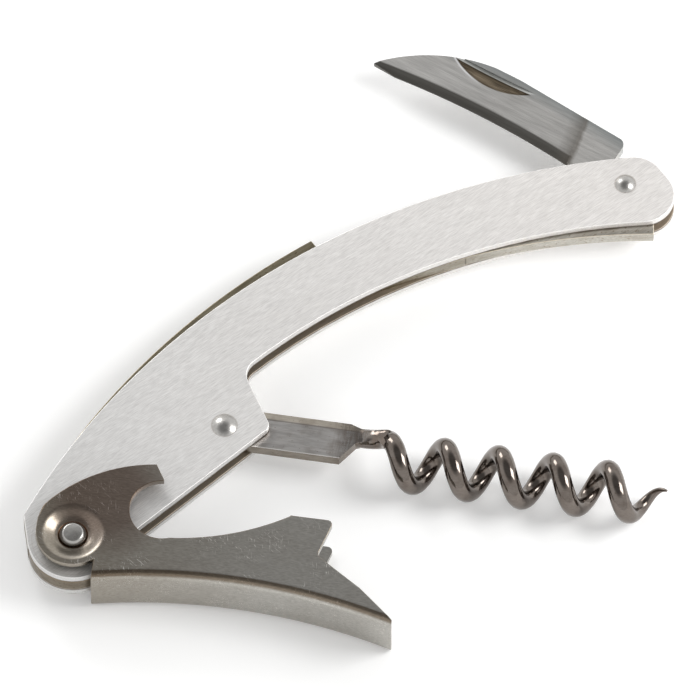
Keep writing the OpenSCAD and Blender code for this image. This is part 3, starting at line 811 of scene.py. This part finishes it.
# Places and sizes are in metres here; the sky dims straight above, so that flat steel shows a tone
studio = {
    "floorSize": 6.0, "floorDrop": 0.00002, "floorColour": (0.93, 0.93, 0.925),
    "floorRough": 0.9, "floorGlow": 0.15,
    "skyStrength": 1.0, "dimTowards": (0.0, 0.0, 1.0), "dimFrom": 0.64, "dimFull": 0.87,
    "dimTo": 0.25, "keyPlace": (0.273, -0.201, 0.294), "keySize": 0.21, "keyPower": 1.1,
    "sidePlace": (0.04, 0.39, 0.215), "sideSize": 0.16, "sidePower": 0.45,
}


def paintFloor():
    # Pale and matt, with a little glow for the camera and for reflections only
    material = bpy.data.materials.new("pale floor")
    material.use_nodes = True
    tree = material.node_tree
    shader = tree.nodes["Principled BSDF"]
    shader.inputs["Base Color"].default_value = (*studio["floorColour"], 1)
    shader.inputs["Roughness"].default_value = studio["floorRough"]
    ray = addNode(tree, "ShaderNodeLightPath")
    seen = maths(tree, "MAXIMUM", ray.outputs["Is Camera Ray"], ray.outputs["Is Glossy Ray"])
    seen = maths(tree, "MAXIMUM", seen, ray.outputs["Is Transmission Ray"])
    glow = addNode(tree, "ShaderNodeEmission", None, {
        "Color": (1, 1, 1, 1), "Strength": times(tree, seen, studio["floorGlow"])})
    both = addNode(tree, "ShaderNodeAddShader", None, {
        0: shader.outputs[0], 1: glow.outputs[0]})
    tree.links.new(both.outputs[0], tree.nodes["Material Output"].inputs["Surface"])
    return material


def lightSky():
    world = bpy.data.worlds.new("studio")
    bpy.context.scene.world = world
    world.use_nodes = True
    sky = world.node_tree
    background = sky.nodes["Background"]
    background.inputs["Color"].default_value = (1, 1, 1, 1)
    way = addNode(sky, "ShaderNodeTexCoord")
    facing = addNode(sky, "ShaderNodeVectorMath", {"operation": "DOT_PRODUCT"}, {
        0: way.outputs["Generated"], 1: studio["dimTowards"]})
    level = spread(sky, facing.outputs["Value"], studio["dimFrom"], studio["dimFull"],
                   studio["skyStrength"], studio["dimTo"])
    ray = addNode(sky, "ShaderNodeLightPath")
    level = maths(sky, "MAXIMUM", level, ray.outputs["Is Camera Ray"])
    sky.links.new(level, background.inputs["Strength"])


def addSoftLight(name, place, size, power):
    # A square lamp that faces the tool
    deselectAll()
    bpy.ops.object.light_add(type="AREA", location=place)
    light = bpy.context.object
    light.name = name
    light.data.size = size
    light.data.energy = power
    light.rotation_euler = (-Vector(place)).to_track_quat("-Z", "Y").to_euler()


deselectAll()
bpy.ops.mesh.primitive_plane_add(size=studio["floorSize"],
                                 location=(0, 0, -studio["floorDrop"]))
floor = bpy.context.object
floor.name = "floor"
floor.data.materials.append(paintFloor())
lightSky()
addSoftLight("key light", studio["keyPlace"], studio["keySize"], studio["keyPower"])
addSoftLight("side light", studio["sidePlace"], studio["sideSize"], studio["sidePower"])


view = {"target": (2.31, 5.38, 4.75), "azimuth": 323.6, "elevation": 60.5, "distance": 2692.0,
        "lens": 900.0, "clipStart": 10.0}
azimuth, elevation = math.radians(view["azimuth"]), math.radians(view["elevation"])
back = Vector((math.sin(azimuth) * math.cos(elevation), -math.cos(azimuth) * math.cos(elevation),
               math.sin(elevation)))
target = Vector(view["target"]) * mm
bpy.ops.object.camera_add(location=target + back * view["distance"] * mm)
camera = bpy.context.object
camera.rotation_euler = back.to_track_quat("Z", "Y").to_euler()
camera.data.lens = view["lens"]
camera.data.clip_start = view["clipStart"] * mm
bpy.context.scene.camera = camera
bpy.context.scene.view_settings.view_transform = "Standard"
print("stand, light and camera set")
